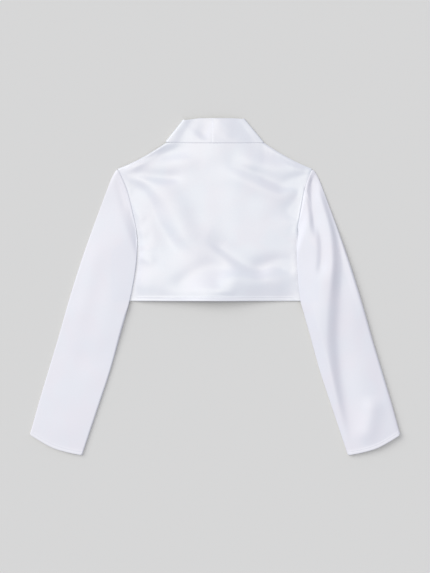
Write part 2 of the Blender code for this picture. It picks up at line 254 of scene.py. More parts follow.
def stitchRow(name, line, normal, closed):
    # one small stitch, copied along a line of the cloth, on its outside
    path = line + normal * layers["wall"] / 2
    bpy.ops.object.select_all(action="DESELECT")
    bpy.ops.mesh.primitive_uv_sphere_add(segments=8, ring_count=5, radius=1, location=(0, 0, 0))
    model = bpy.context.object
    size = np.array([hem["stitchLength"] / 2, hem["stitchWide"], hem["stitchTall"]])
    shape = np.array([vertex.co for vertex in model.data.vertices])[:, [2, 0, 1]] * size
    loops = [list(face.vertices) for face in model.data.polygons]
    bpy.data.objects.remove(model)
    if closed:
        path, normal = (np.concatenate([v, v[:1]]) for v in (path, normal))
    along = np.insert(np.cumsum(np.linalg.norm(np.diff(path, axis=0), axis=1)), 0, 0)
    pitch = hem["stitchLength"] + hem["stitchGap"]
    reach = hem["stitchReach"]
    points, faces = [], []
    random = np.random.default_rng(len(name))
    for at in np.arange(pitch / 2, along[-1] - pitch / 2, pitch):
        ends = [np.array([np.interp(at + d, along, path[:, k]) for k in range(3)])
                for d in (-reach, 0, reach)]
        outward = np.array([np.interp(at, along, normal[:, k]) for k in range(3)])
        way = ends[2] - ends[0]
        way = way / np.linalg.norm(way)
        side = np.cross(outward, way)
        side = side / np.linalg.norm(side) + way * random.normal(0, hem["stitchTurn"])
        outward = np.cross(way, side)
        first = len(points)
        points += list(ends[1] + outward * hem["stitchUp"] + shape @ np.array([way, side, outward]))
        faces += [[first + k for k in loop] for loop in loops]
    mesh = bpy.data.meshes.new(name)
    mesh.from_pydata((np.array(points) * mm).tolist(), [], faces)
    mesh.materials.append(thread)
    piece = bpy.data.objects.new(name, mesh)
    bpy.context.scene.collection.objects.link(piece)
    select(piece)
    bpy.ops.object.mode_set(mode="EDIT")
    bpy.ops.mesh.select_all(action="SELECT")
    bpy.ops.mesh.normals_make_consistent(inside=False)
    bpy.ops.object.mode_set(mode="OBJECT")
    bpy.ops.object.shade_smooth()
    return piece


def select(piece):
    bpy.ops.object.select_all(action="DESELECT")
    piece.select_set(True)
    bpy.context.view_layer.objects.active = piece


# Satin

satin = {
    "shiny": {"colour": (0.777, 0.789, 0.806), "roughness": 0.36, "sheen": 0.1,
              "anisotropic": 0.4, "bump": 0.3},
    "sleeve": {"colour": (0.783, 0.781, 0.802), "roughness": 0.46, "sheen": 0.16,
               "anisotropic": 0.3, "bump": 0.25},
    "gloss": 1.0, "ior": 1.6, "sheenRoughness": 0.4,
    "roughnessDown": 0.05, "roughnessUp": 0.06,
    "lilac": (0.992, 0.98, 0.992),       # the two casts that drift over the cloth
    "blue": (0.978, 0.992, 1.004),
    "castScale": 14, "castFrom": 0.4, "castTo": 0.6,
    "doubled": 1.02,                     # how much brighter the doubled cloth of a hem is: partly its doubled thickness, partly a painted highlight
    "paintedShadeOverBody": (0.945, 0.968, 0.995),   # painted shade: a sleeve drawn darker and bluer where it lies over the body
    "threads": 3200,                     # across one metre
    "floatRun": 7, "floatTone": 0.05, "floatDepth": 0.00004,
    "crush": 120, "crushDepth": 0.00018,     # faint crumpling, waves in one metre
}

sewingThread = {
    "roughness": 0.5, "sheen": 0.2, "twistShade": 1500, "unevenness": 1,
    # dark and light: painted shade in the grooves between the twisted plies and painted light on their
    # ridges
    "dark": (0.70, 0.71, 0.76, 1), "light": (0.84, 0.85, 0.9, 1),
}


def satinMaterial(name, colour, roughness, sheen, anisotropic, bump):
    material = bpy.data.materials.new(name)
    material.use_nodes = True
    nodes, links = material.node_tree.nodes, material.node_tree.links
    shader = nodes["Principled BSDF"]
    shader.inputs["Sheen Weight"].default_value = sheen
    shader.inputs["Sheen Roughness"].default_value = satin["sheenRoughness"]
    shader.inputs["Anisotropic"].default_value = anisotropic
    shader.inputs["Specular IOR Level"].default_value = satin["gloss"]
    shader.inputs["IOR"].default_value = satin["ior"]

    cloth = nodes.new("ShaderNodeUVMap")
    cloth.uv_map = "cloth"
    across = nodes.new("ShaderNodeMapping")
    across.inputs["Scale"].default_value = (satin["threads"], satin["threads"] / satin["floatRun"], 1)
    floats = nodes.new("ShaderNodeTexNoise")     # long thread floats of the satin face
    floats.inputs["Scale"].default_value = 1.0
    floats.inputs["Detail"].default_value = 2
    crush = nodes.new("ShaderNodeTexNoise")
    crush.inputs["Scale"].default_value = satin["crush"]
    crush.inputs["Detail"].default_value = 3
    cast = nodes.new("ShaderNodeTexNoise")       # slow change of tone over the cloth
    cast.inputs["Scale"].default_value = satin["castScale"]
    cast.inputs["Detail"].default_value = 2
    links.new(cloth.outputs["UV"], across.inputs["Vector"])
    links.new(across.outputs["Vector"], floats.inputs["Vector"])
    links.new(cloth.outputs["UV"], crush.inputs["Vector"])
    links.new(cloth.outputs["UV"], cast.inputs["Vector"])

    def mixed(kind, first, second, amount):
        mix = nodes.new("ShaderNodeMix")
        mix.data_type = "RGBA"
        mix.blend_type = kind
        for socket, value in (("A", first), ("B", second), ("Factor", amount)):
            if isinstance(value, (tuple, float)):
                mix.inputs[socket].default_value = value
            else:
                links.new(value, mix.inputs[socket])
        return mix.outputs["Result"]

    # the attribute brightens doubled hems, partly as a painted highlight, and darkens a sleeve over the body
    # as painted shade
    layersAndPaintedLight = nodes.new("ShaderNodeAttribute")
    layersAndPaintedLight.attribute_name = "layersAndPaintedLight"
    doubled, paintedShade = (nodes.new("ShaderNodeMapRange") for _ in range(2))
    paintedShade.inputs["From Max"].default_value = -1
    for node in (doubled, paintedShade):
        links.new(layersAndPaintedLight.outputs["Fac"], node.inputs["Value"])
    drift = nodes.new("ShaderNodeMapRange")
    drift.inputs["From Min"].default_value = satin["castFrom"]
    drift.inputs["From Max"].default_value = satin["castTo"]
    links.new(cast.outputs["Fac"], drift.inputs["Value"])

    def tinted(tint):
        return (*(c * k for c, k in zip(colour, tint)), 1)

    tone = mixed("MIX", tinted(satin["lilac"]), tinted(satin["blue"]), drift.outputs["Result"])
    # brighter doubled hems: partly their doubled cloth, partly a painted highlight
    tone = mixed("MIX", tone, tinted([satin["doubled"]] * 3), doubled.outputs["Result"])
    # painted shade: darker and bluer on a sleeve where it lies over the body
    tone = mixed("MIX", tone, tinted(satin["paintedShadeOverBody"]), paintedShade.outputs["Result"])
    tone = mixed("MULTIPLY", tone, floats.outputs["Color"], satin["floatTone"])
    links.new(tone, shader.inputs["Base Color"])

    gloss = nodes.new("ShaderNodeMapRange")
    gloss.inputs["To Min"].default_value = roughness - satin["roughnessDown"]
    gloss.inputs["To Max"].default_value = roughness + satin["roughnessUp"]
    links.new(floats.outputs["Fac"], gloss.inputs["Value"])
    links.new(gloss.outputs["Result"], shader.inputs["Roughness"])
    weft = nodes.new("ShaderNodeTangent")
    weft.direction_type = "UV_MAP"
    weft.uv_map = "cloth"
    links.new(weft.outputs["Tangent"], shader.inputs["Tangent"])

    fine = nodes.new("ShaderNodeBump")
    fine.inputs["Strength"].default_value = bump
    fine.inputs["Distance"].default_value = satin["floatDepth"]
    links.new(floats.outputs["Fac"], fine.inputs["Height"])
    soft = nodes.new("ShaderNodeBump")
    soft.inputs["Strength"].default_value = bump
    soft.inputs["Distance"].default_value = satin["crushDepth"]
    links.new(crush.outputs["Fac"], soft.inputs["Height"])
    links.new(fine.outputs["Normal"], soft.inputs["Normal"])
    links.new(soft.outputs["Normal"], shader.inputs["Normal"])
    return material


def threadMaterial():
    material = bpy.data.materials.new("sewingThread")
    material.use_nodes = True
    nodes, links = material.node_tree.nodes, material.node_tree.links
    shader = nodes["Principled BSDF"]
    shader.inputs["Roughness"].default_value = sewingThread["roughness"]
    shader.inputs["Sheen Weight"].default_value = sewingThread["sheen"]
    place = nodes.new("ShaderNodeTexCoord")
    # painted shade and light: bands for the grooves and ridges of the twisted thread
    twistShade = nodes.new("ShaderNodeTexWave")
    twistShade.inputs["Scale"].default_value = sewingThread["twistShade"]
    twistShade.inputs["Distortion"].default_value = sewingThread["unevenness"]
    colour = nodes.new("ShaderNodeMix")
    colour.data_type = "RGBA"
    colour.inputs["A"].default_value = sewingThread["dark"]
    colour.inputs["B"].default_value = sewingThread["light"]
    links.new(place.outputs["Object"], twistShade.inputs["Vector"])
    links.new(twistShade.outputs["Fac"], colour.inputs["Factor"])
    links.new(colour.outputs["Result"], shader.inputs["Base Color"])
    return material


shinySatin = satinMaterial("shinySatin", **satin["shiny"])
sleeveSatin = satinMaterial("sleeveSatin", **satin["sleeve"])
thread = threadMaterial()
print("materials ready")


# Back

back = {
    "near": [0, 1.0, 2.2, 3.6, 5.2, 7.4, 10.5, 14.0],    # rows and columns close together by the seams
    "columns": 76, "sideRows": 14, "turnRows": 10, "armholeRows": 28,
    # the loose middle rises from the seams over these distances: left, right, shoulders
    "loose": 2.6, "looseReach": (38.0, 150.0, 100.0),
    # the folds start sooner: left, right
    "foldReach": (14.0, 4.0), "innerReach": 14.0, "shoulderFoldReach": 2.5,
    "foldRoom": 1.5, "roomBelow": 100.0, "rightReach": 60.0,
    "rightEdge": 0.8, "rightSeam": 1.8, "rightSeamReach": 90.0,   # the right armhole's edge stands higher
    "hemLift": 12.0, "hemLiftX": -6.0, "hemLiftHalf": 86.0, "hemLiftReach": 69.0, "hemEdgeReach": 60.0,
    "neckLift": 2.2, "neckReach": 60.0,
    "ripple": 0.14, "rippleWave": 60,
    "pucker": 0.16, "puckerWave": 13, "puckerWidth": 16, "puckerStart": 5,
    "tuck": 2.5, "tuckUp": 20, "tuckDown": 12,      # the armhole and neck edges run on under the next piece
    "dip": 0.9, "dipAt": 1.5, "dipReach": 4,
    "allowance": 0.3, "allowanceAt": 5, "allowanceWidth": 4,
    "shoulderDown": 0.8, "shoulderReach": 4,
    # height, width on the left of the spine's run, width on its right, spine
    "folds": [
        (2.8, 16, 22, [(-208, 246), (-185, 250), (-140, 256), (-100, 260), (-64, 261), (-26, 257)]),
        (-2.2, 15, 8, [(-190, 241), (-150, 234), (-125, 229), (-95, 226), (-60, 232)]),
        (3.4, 32, 21, [(-231, 242), (-186, 234), (-151, 225), (-127, 210), (-108, 193), (-93, 170),
                       (-73, 128), (-63, 108), (-38, 83), (4, 55)]),
        (-2.3, 13, 25, [(-201, 245), (-179, 225), (-161, 209), (-147, 195), (-135, 171), (-123, 139),
                        (-101, 104), (-87, 79), (-61, 55)]),
        (-3.1, 24, 12, [(-24, 106), (0, 91), (29, 69), (55, 50), (86, 32), (116, 18)]),
        (0.8, 10, 16, [(-186, 164), (-165, 152), (-143, 138)]),
        (0.7, 17, 14, [(-178, 122), (-158, 114), (-140, 104)]),
        (1.0, 10, 11, [(-182, 98), (-155, 86), (-126, 70)]),
        (1.8, 10, 12, [(-196, 61), (-164, 63), (-142, 58), (-122, 46)]),
        (1.5, 24, 26, [(-180, 0), (-146, 14), (-119, 30), (-102, 55)]),
        (-1.2, 18, 12, [(-191, -18), (-150, -22), (-110, -20), (-80, -6)]),
        (-3.8, 21, 46, [(-108, -16), (-76, 0), (-50, 20), (-20, 34), (14, 34), (50, 20)]),
        (2.3, 12, 24, [(-8, 15), (20, 17), (44, 19), (80, 16), (120, 14), (180, 14)]),
        (-2.2, 22, 9, [(-14, -14), (30, -22), (70, -29), (120, -32), (190, -32)]),
        (0.7, 6, 7, [(-10, -8), (20, -10), (48, -12)]),
        (-1.9, 10, 8, [(-134, -23), (-56, -23), (0, -22), (60, -24)]),
        (2.8, 22, 19, [(30, 263), (80, 258), (110, 252), (140, 246), (170, 245), (214, 250)]),
        (-1.8, 20, 9, [(12, 250), (58, 237), (99, 220), (121, 210), (141, 204), (166, 213), (206, 230)]),
        (2.6, 10, 28, [(1, 245), (41, 238), (82, 224), (112, 209), (140, 198), (164, 206), (200, 224)]),
        (-3.6, 10, 38, [(214, 236), (196, 204), (181, 180), (171, 156), (166, 130)]),
        (0.7, 12, 12, [(151, 156), (169, 162), (192, 170)]),
        (-2.7, 18, 11, [(80, 18), (99, 37), (121, 47), (146, 44), (176, 34)]),
    ],
    "shoulderFolds": [
        (5.0, 5, 14, [(-208, 247), (-180, 259), (-153, 272), (-112, 295), (-60, 314)]),
        (0.7, 5, 8, [(60, 318), (92, 304), (130, 284), (180, 258), (200, 250)]),
    ],
}


def backHeight(x, y):
    half = np.abs(x - slip(x, y))
    seam = nearest(half, y, armholeBack)[0]
    inner = nearest(half, y, sleeveInner[:4])[0]
    shoulder = nearest(half, y, shoulderSeam)[0]
    line = np.vstack([curve(armholeBack, 30), curve(sleeveInner[:4], 30)[1:]])[::-1]
    inside = half < np.interp(y, line[:, 1], line[:, 0])
    beside = np.minimum(seam, inner)
    left, right, above = back["looseReach"]
    loose = inside * smooth(beside / np.where(x > 0, right, left)) * smooth(shoulder / above)
    reach = np.where(x > 0, back["foldReach"][1], back["foldReach"][0])
    folded = inside * smooth(seam / reach) * smooth(inner / back["innerReach"])
    folded = folded * smooth(shoulder / back["foldReach"][0])
    hemUp = np.exp(-(((x - back["hemLiftX"]) / back["hemLiftHalf"]) ** 2)
                   - ((y - body["hemY"]) / back["hemLiftReach"]) ** 2)
    hemUp = hemUp * inside * smooth(inner / back["hemEdgeReach"])
    neck = np.clip(1 - (x / body["neckHalf"]) ** 4, 0, 1)
    neck = neck * np.exp(-(((body["neckY"] - y) / back["neckReach"]) ** 2))
    folds = foldHeight(x, y, back["folds"]) + back["ripple"] * ripple(x, y, back["rippleWave"], 3)
    upSeam = smooth((y - body["foldY"]) / back["rightSeamReach"])
    atEdge = np.where(x > 0, back["rightEdge"] + back["rightSeam"] * upSeam, 0)
    room = smooth(beside / np.where(x > 0, back["rightReach"], back["foldReach"][0]))
    room = (atEdge + (back["foldRoom"] - atEdge) * room) * inside * smooth(shoulder / back["roomBelow"])
    height = back["loose"] * loose + room + folds * folded
    height = height + back["hemLift"] * hemUp + back["neckLift"] * neck
    shoulderFolds = foldHeight(x, y, back["shoulderFolds"]) * inside
    height = np.maximum(height, 0) + shoulderFolds * smooth(shoulder / back["shoulderFoldReach"])
    edge = np.minimum(beside, shoulder)
    puckers = back["pucker"] * ripple(x, y, back["puckerWave"], 5) * inside
    puckers = puckers * np.exp(-((edge / back["puckerWidth"]) ** 2))
    height = height + puckers * smooth(edge / back["puckerStart"])

    # the edge goes down into its seam, and the shoulder edge meets the front's
    top = shoulderY(half) - y
    signed = np.where(inside, seam, -seam)
    signed = np.where(y > body["foldY"], signed, faraway)
    signed = np.minimum(signed, np.where(half < body["neckHalf"], top, faraway))
    height = height - back["dip"] * smooth((back["dipAt"] - signed) / back["dipReach"])
    bump = np.exp(-(((signed - back["allowanceAt"]) / back["allowanceWidth"]) ** 2))
    height = height + back["allowance"] * bump * (y < body["shoulderY"])
    down = back["shoulderDown"] * smooth((back["shoulderReach"] - top) / back["shoulderReach"])
    return layers["fronts"] + height - down * (half > body["neckHalf"])


def makeBack():
    near = back["near"]
    side = np.array([(body["sideHalf"], body["hemY"]), (body["sideHalf"], body["underarmY"])], float)
    side = spaced(side, hem["rows"], [0], back["sideRows"])[:-1]
    turn = curve(armholeTurn[::-1], back["turnRows"] + 1)[:-1]
    armhole = spaced(curve(armholeBack[::-1], fineCount), [0], near, back["armholeRows"])
    edge = np.vstack([side, turn, armhole])
    tucked = smooth((edge[:, 1] - body["foldY"]) / back["tuckUp"]) * back["tuck"]
    edge[:, 0] += tucked * smooth((body["shoulderY"] - edge[:, 1]) / back["tuckDown"])
    close = 1 - np.array(near) / body["foldHalf"] * 0.95      # columns, as parts of the half width
    u = np.concatenate([-close, np.linspace(-close[-1], close[-1], back["columns"])[1:-1], close[::-1]])
    x = edge[:, :1] * u
    rise = smooth((edge[:, 1:] - body["underarmY"]) / (body["shoulderY"] - body["underarmY"]))
    half = np.abs(u) * body["shoulderHalf"]
    top = shoulderY(half) + back["tuck"] * (half < body["neckHalf"] - 2)    # not at the neck's corners
    y = edge[:, 1:] + rise * (top - body["shoulderY"])
    x = x + slip(x, y)
    height = backHeight(x, y)
    seen = smooth((body["foldHalf"] + 4 - np.abs(x)) / 10)    # under the sleeves the hem is flat
    height = height + hemRelief(y - body["hemY"]) * seen
    rows = withHeight(np.dstack([x, y]), height)[::-1]
    middle = (len(rows) // 2, rows.shape[1] // 2)
    normal = outwardOf(rows, False, middle)
    outside = rows[stitchLine] + normal[stitchLine] * layers["wall"] / 2
    shown = np.abs(outside[:, 0]) < body["foldHalf"] + 18     # a little way in under the sleeves
    stitching = stitchRow("hemStitches", rows[stitchLine][shown], normal[stitchLine][shown], False)
    rows = turnHem(rows, False, middle)
    # the hem's brighter tone: partly doubled cloth, partly a painted highlight
    layersAndPaintedLight = hemToneAndHighlight(rows[:, :, 1] - body["hemY"])
    return clothMesh("backPanel", rows, False, layers["wall"], shinySatin, layersAndPaintedLight), stitching


def settle(piece, node):
    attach(piece, "root")
    if node:
        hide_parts(node)


backPanel, hemStitches = makeBack()
settle(backPanel, "back")
settle(hemStitches, None)
print("back laid")


# Fronts, under the back

front = {
    "columns": 40, "sideRows": 18, "armholeRows": 26,
    "edge": [(102, 302.4), (76, 206), (62, 130), (54, 60), (57, 8), (72, -20), (97, -30.5)],
    "swell": 0.5, "swellBase": 0.6, "rippleWave": 70,
    "fade": (0.3, 0.2, 0.15),           # how far in it fades, from the outer, inner and end edges
    "meet": 0.84, "meetWidth": 9.0,     # at the shoulder the front comes up to the back
    "leftFolds": [
        (1.5, 13, 13, [(-150, 215), (-118, 150), (-92, 60)]),
        (1.2, 11, 11, [(-196, 66), (-140, 30), (-96, -6)]),
        (0.9, 16, 10, [(-120, 262), (-100, 220), (-88, 170)]),
    ],
    "rightFolds": [
        (1.4, 12, 12, [(168, 196), (128, 120), (84, 58)]),
        (1.1, 14, 14, [(190, 30), (138, 12), (100, 22)]),
        (1.0, 12, 12, [(132, 258), (108, 232), (92, 196)]),
    ],
}


def makeFront(name, side, folds, node, seed):
    outer = curve(sideSeam, front["sideRows"] + 1)[:-1]
    outer = np.vstack([outer, curve(armholeFront[::-1], front["armholeRows"] + 1)])
    inner = curve(front["edge"][::-1], len(outer))
    hemLine = np.linspace(outer[0], inner[0], front["columns"] + 1)
    half = np.linspace(outer[-1][0], inner[-1][0], front["columns"] + 1)
    plan = patch(outer, inner, hemLine, np.stack([half, shoulderY(half)], axis=1))
    plan[:, :, 0] *= side
    plan[:, :, 0] += slip(plan[:, :, 0], plan[:, :, 1])
    x, y = plan[:, :, 0], plan[:, :, 1]
    s = np.linspace(0, 1, len(outer))[:, None]
    t = np.linspace(0, 1, front["columns"] + 1)[None, :]
    atOuter, atInner, atEnds = front["fade"]
    inside = smooth(t / atOuter) * smooth((1 - t) / atInner) * smooth(s / atEnds) * smooth((1 - s) / atEnds)
    swell = front["swell"] * (front["swellBase"] + ripple(x, y, front["rippleWave"], seed))
    swell = swell + foldHeight(x, y, folds)
    top = shoulderY(np.abs(x)) - y
    meet = front["meet"] * smooth((front["meetWidth"] - top) / front["meetWidth"])
    height = layers["table"] + np.maximum(swell, 0) * inside + meet
    piece = clothMesh(name, withHeight(plan, height), False, layers["wall"], shinySatin)
    settle(piece, node)
    return piece


frontLeft = makeFront("frontLeft", -1, front["leftFolds"], "front_left", 12)
frontRight = makeFront("frontRight", 1, front["rightFolds"], "front_right", 11)
print("fronts laid")


# Sleeves, each a flat tube from the armhole to the cuff

sleeve = {
    "near": [0, 1.0, 2.2, 3.6, 5.2, 7.4, 10.5, 14.0],
    "rings": 78, "top": 40, "underIn": 8, "underOut": 20,
    # space between the layers at the outer edge: at the armhole, along the left sleeve, along the right one
    "outerSpace": (1.8, 3.6, 7.2), "outerFrom": 246, "outerReach": 260,
    # and at the inner edge: at the armhole, on the body, below the body
    "innerSpace": (1.1, 2.4, 4.7), "innerFrom": 112, "innerReach": 60, "belowFrom": -10, "belowReach": 110,
    "looseLeft": 0.6, "looseRight": 1.4, "ripple": 0.12, "rippleWave": 70,
    "foldFade": (0.1, 0.2), "foldStart": 12,          # folds fade out at the two edges and at the armhole
    "pucker": 0.15, "puckerWave": 12, "puckerWidth": 18, "puckerStart": 4,
    "stepStart": 12.0, "stepWidth": 20.0, "stepScale": 1.6, "drape": 140.0, "drapeStart": 0.6,
    "capReach": 55.0, "cuffUp": 0.3, "cuffUpFrom": -300, "cuffUpReach": 30, "cuffInside": 0.3,
    "riseRight": 1.0, "riseWidth": 9.0,
    "onBack": 0.35, "heightFrom": 0.2, "joinedFrom": 0.9, "joinedReach": 0.1,
    "allowance": 0.55, "allowanceStart": 2.4, "allowanceEnd": 10.5, "allowanceFade": 3.5,
    # the last two set where the painted shade on a sleeve over the body begins and how far it fades
    "underFade": (0.3, 0.1), "paintedShadeFrom": 6, "paintedShadeFade": 12,
    "turn": np.radians([72, 36, 0, -36, -72]),
    "under": [(1.4, 12, 12, [(236, 40), (262, -80), (300, -230)]),
              (1.1, 14, 14, [(286, 20), (318, -120), (350, -250)])],
    # the spines run down the sleeve, so their left is the wearer's right
    "leftFolds": [
        (-0.7, 7, 7, [(-207, 232), (-197, 195), (-186, 156)]),
        (0.5, 16, 16, [(-236, 120), (-262, 20), (-296, -120)]),
        (-0.5, 20, 20, [(-228, 60), (-252, -60), (-300, -220)]),
    ],
    "rightFolds": [
        (-4.6, 24, 7, [(206, 256), (203, 215), (203, 180), (207, 140), (213, 96)]),
        (-2.9, 14, 8, [(216, 134), (223, 94), (223, 50), (215, 12)]),
        (5.8, 9, 46, [(206, 250), (223, 200), (234, 150), (242, 106), (245, 62), (243, 20), (237, -44)]),
        (5.4, 16, 48, [(244, 64), (238, 0), (233, -66), (232, -108), (236, -150), (243, -200),
                       (252, -250), (270, -340)]),
        (-2.0, 30, 9, [(250, 176), (258, 140), (265, 100), (268, 62), (266, 20), (261, -44)]),
        (-2.8, 28, 14, [(268, 64), (263, 0), (260, -66), (259, -108), (261, -150), (265, -200),
                        (271, -250), (290, -340)]),
        (3.0, 20, 18, [(332, -226), (324, -280), (311, -334)]),
    ],
}


def underHeight(half, y, side):
    # the under layer lies on the table, and on the body where the sleeve crosses it
    raised = 1 - smooth((offBody(half, y) - sleeve["stepStart"]) / sleeve["stepWidth"])
    onBody = layers["back"] + (back["rightEdge"] if side > 0 else 0)
    cuffUp = sleeve["cuffUp"] * smooth((sleeve["cuffUpFrom"] - y) / sleeve["cuffUpReach"])
    return layers["table"] + (onBody - layers["table"]) * raised + cuffUp


def drapedHeight(half, y):
    # the upper layer bridges the same step in a long soft slope
    start = sleeve["stepStart"] * sleeve["drapeStart"]
    raised = 1 - smooth((offBody(half, y) - start) / sleeve["drape"])
    return layers["table"] + (layers["back"] - layers["table"]) * raised


def offBody(half, y):
    # distance from the body's outline: its side, its hem and its slanted underarm edge
    slope = (body["underarmY"] - body["foldY"], body["sideHalf"] - body["foldHalf"])
    size = math.hypot(*slope)
    above = (half - body["sideHalf"]) * -slope[0] / size + (y - body["underarmY"]) * slope[1] / size
    beyond = (half - body["sideHalf"], body["hemY"] - y, sleeve["stepScale"] * above)
    return np.sqrt(sum(np.maximum(d, 0) ** 2 for d in beyond))


def turnedEdge(upper, under, outward):
    # a half round that joins two layers along a folded edge
    middle = (upper[:, 2] + under[:, 2]) / 2
    radius = (upper[:, 2] - under[:, 2]) / 2
    ring = []
    for angle in sleeve["turn"]:
        flat = upper[:, :2] + outward * (radius * np.cos(angle))[:, None]
        ring.append(np.column_stack([flat, middle + radius * np.sin(angle)]))
    return np.stack(ring, axis=1)


def spaceAtEdges(outer, inner, side):
    atArmhole, left, right = sleeve["outerSpace"]
    along = right if side > 0 else left
    down = smooth((sleeve["outerFrom"] - outer[:, 1]) / sleeve["outerReach"])
    outerSpace = atArmhole + (along - atArmhole) * down
    atFold, onBody, below = sleeve["innerSpace"]
    down = smooth((sleeve["innerFrom"] - inner[:, 1]) / sleeve["innerReach"])
    innerSpace = atFold + (onBody - atFold) * down
    down = smooth((sleeve["belowFrom"] - inner[:, 1]) / sleeve["belowReach"])
    innerSpace = innerSpace + (below - onBody) * down
    return outerSpace, innerSpace


def makeSleeve(name, side, folds, node, seed):
    near, last = sleeve["near"], hem["rows"]
    outer = spaced(curve(sleeveOuter, fineCount), near, last, sleeve["rings"])
    inner = spaced(curve(sleeveInner, fineCount), near, last, sleeve["rings"])
    way = (inner - outer) / np.linalg.norm(inner - outer, axis=1)[:, None]
    outerSpace, innerSpace = spaceAtEdges(outer, inner, side)
    bulge = drapedHeight(inner[:, 0], inner[:, 1]) - underHeight(inner[:, 0], inner[:, 1], side)
    outer = outer + (outerSpace / 2 + layers["wall"] / 2)[:, None] * way
    inner = inner - ((innerSpace + bulge) / 2 + layers["wall"] / 2)[:, None] * way
    seam = spaced(curve(sleeveSeam, fineCount), near, last, sleeve["rings"])
    cuff = curve(cuffLine, fineCount // 2)
    atSeam = int(np.argmin(np.hypot(*(cuff - seam[-1]).T)))

    def ends(line, count, first, final):
        points = curve(line, count + 1)
        points[0], points[-1] = first, final
        return points

    top = patch(outer, inner, ends(armholeBack, sleeve["top"], outer[0], inner[0]),
                ends(cuff, sleeve["top"], outer[-1], inner[-1]))
    underIn = patch(inner, seam, ends(armholeTurn, sleeve["underIn"], inner[0], seam[0]),
                    ends(cuff[atSeam:][::-1], sleeve["underIn"], inner[-1], seam[-1]))
    underOut = patch(seam, outer, ends(armholeFront[::-1], sleeve["underOut"], seam[0], outer[0]),
                     ends(cuff[:atSeam + 1][::-1], sleeve["underOut"], seam[-1], outer[-1]))

    across = np.linspace(0, 1, sleeve["top"] + 1)[None, :]
    half, y = top[:, :, 0], top[:, :, 1]
    x = side * half + slip(side * half, y)
    fromHead = np.linalg.norm(top - top[:1], axis=2)
    edges = smooth(across / sleeve["foldFade"][0]) * smooth((1 - across) / sleeve["foldFade"][1])
    uneven = foldHeight(x, y, folds) + sleeve["ripple"] * ripple(x, y, sleeve["rippleWave"], seed)
    loose = sleeve["looseRight"] if side > 0 else sleeve["looseLeft"]
    space = outerSpace[:, None] * (1 - across) + innerSpace[:, None] * across
    toInner = (1 - across) * np.linalg.norm(inner - outer, axis=1)[:, None]
    height = drapedHeight(half, y) + space + loose * np.sin(np.pi * across)
    if side > 0:
        height = height + sleeve["riseRight"] * smooth(toInner / sleeve["riseWidth"])
    # the sleeve's head follows the back's edge, just over it
    joined = backHeight(x[0] - side * sleeve["heightFrom"], y[0])[None] + sleeve["onBack"]
    toOwn = smooth((across - sleeve["joinedFrom"]) / sleeve["joinedReach"])
    joined = joined + (height[:1] - joined) * toOwn
    height = joined + (height - joined) * smooth(fromHead / sleeve["capReach"])
    height = height + edges * uneven * smooth(fromHead / sleeve["foldStart"])
    allowance = sleeve["allowance"] * smooth(fromHead / sleeve["allowanceStart"])
    height = height + allowance * smooth((sleeve["allowanceEnd"] - fromHead) / sleeve["allowanceFade"])
    puckers = sleeve["pucker"] * ripple(x, y, sleeve["puckerWave"], 31)
    puckers = puckers * smooth(fromHead / sleeve["puckerStart"])
    height = height + puckers * np.exp(-((fromHead / sleeve["puckerWidth"]) ** 2))
    toCuff = np.linalg.norm(top - top[-1:], axis=2) + last[0]
    height = height + hemRelief(toCuff)

    top = withHeight(top, height)
    underIn = withHeight(underIn, underHeight(underIn[:, :, 0], underIn[:, :, 1], side))
    underOut = withHeight(underOut, underHeight(underOut[:, :, 0], underOut[:, :, 1], side))
    lowRidges = np.maximum(foldHeight(underOut[:, :, 0], underOut[:, :, 1], sleeve["under"]), 0)
    t = np.linspace(0, 1, sleeve["underOut"] + 1)[None, :]
    s = np.linspace(0, 1, len(top))[:, None]
    atSides, atEnds = sleeve["underFade"]
    lowRidges = lowRidges * smooth(t / atSides) * smooth((1 - t) / atSides)
    underOut[:, :, 2] += lowRidges * smooth(s / atEnds) * smooth((1 - s) / atEnds)
    for part in (underIn, underOut):    # room for the turned hem
        toCuff = np.linalg.norm(part - part[-1:], axis=2)
        part[:, :, 2] += sleeve["cuffInside"] * smooth((hem["deep"] + 3 - toCuff) / 4)
    innerTurn = turnedEdge(top[:, -1], underIn[:, 0], way)
    outerTurn = turnedEdge(top[:, 0], underOut[:, -1], -way)[:, ::-1]
    rings = np.concatenate([top, innerTurn, underIn, underOut[:, 1:], outerTurn], axis=1)
    rings[:, :, 0] *= side
    rings[:, :, 0] += slip(rings[:, :, 0], rings[:, :, 1])

    middle = (len(rings) // 2, sleeve["top"] // 2)
    normal = outwardOf(rings, True, middle)
    stitching = stitchRow(name + "Stitches", rings[stitchLine], normal[stitchLine], True)
    toCuff = np.linalg.norm(rings - rings[-1:], axis=2) + last[0]
    half = np.abs(rings[:, :, 0] - slip(rings[:, :, 0], rings[:, :, 1]))
    # painted shade: the sleeve is darker and bluer where it lies over the body
    paintedShadeOverBody = smooth((sleeve["paintedShadeFrom"] - offBody(half, rings[:, :, 1])) / sleeve["paintedShadeFade"])
    layersAndPaintedLight = hemToneAndHighlight(toCuff) - paintedShadeOverBody
    rings = turnHem(rings, True, middle)
    layersAndPaintedLight = np.concatenate([layersAndPaintedLight, np.ones((len(rings) - len(layersAndPaintedLight), rings.shape[1]))])
    piece = clothMesh(name, rings, True, layers["wall"], sleeveSatin, layersAndPaintedLight)
    settle(piece, node)
    settle(stitching, None)
    return piece, stitching


sleeveLeft, cuffStitchesLeft = makeSleeve("sleeveLeft", -1, sleeve["leftFolds"], "sleeve_left", 22)
sleeveRight, cuffStitchesRight = makeSleeve("sleeveRight", 1, sleeve["rightFolds"], "sleeve_right", 21)
print("sleeves laid")


# Collar, in two halves that meet at the centre back

